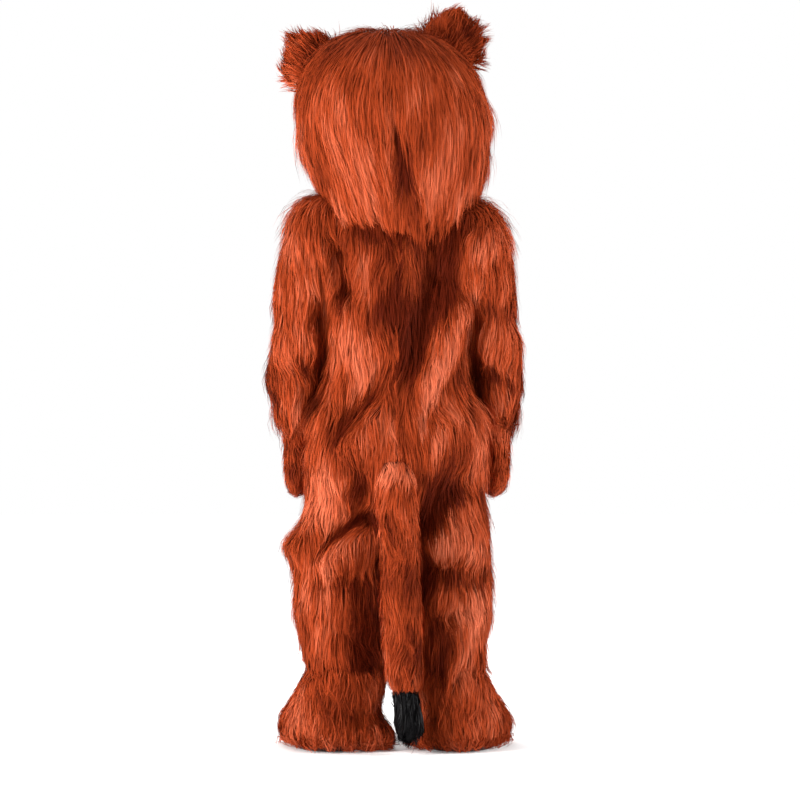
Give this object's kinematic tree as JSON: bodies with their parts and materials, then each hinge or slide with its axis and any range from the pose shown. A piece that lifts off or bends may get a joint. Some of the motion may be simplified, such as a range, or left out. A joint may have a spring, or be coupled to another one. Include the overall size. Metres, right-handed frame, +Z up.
{
  "type": "bear mascot costume",
  "caption": "Worn full-body mascot costume of long-pile fur cloth: hollow head, suit, paws and feet, with a stuffed tail ending in a tuft.",
  "frame": {"origin": "centre of the neck opening, between the shoulders, where the wearer carries the suit", "axes": "+Z up, the costume faces -Y, +X is the wearer's left"},
  "size_m": [0.6724, 0.5888, 1.9053],
  "materials": {
    "rust_fur": "long silky pile, rust orange with dark roots",
    "black_fur": "long silky pile, black",
    "nose_vinyl": "padded black vinyl, fine grain",
    "eye_mesh": "black see-through mesh domes",
    "closure_tape": "woven tape",
    "sole": "textured sheet rubber"
  },
  "bodies": {
    "root": {"body_front_left": "rust_fur", "body_front_right": "rust_fur", "body_back_left": "rust_fur", "body_back_right": "rust_fur", "sleeve_left": "rust_fur", "sleeve_right": "rust_fur", "paw_left": "rust_fur", "paw_right": "rust_fur", "foot_left": "rust_fur", "foot_right": "rust_fur", "head_front": "rust_fur", "head_back_left": "rust_fur", "head_back_right": "rust_fur", "ear_left_front": "rust_fur", "ear_left_back": "rust_fur", "ear_right_front": "rust_fur", "ear_right_back": "rust_fur", "muzzle": "rust_fur", "tail": "rust_fur", "back_zip": "closure_tape", "sole_left": "sole", "sole_right": "sole", "nose": "nose_vinyl", "eye_left": "eye_mesh", "eye_right": "eye_mesh", "tail_tuft": "black_fur"}
  },
  "joints": []
}
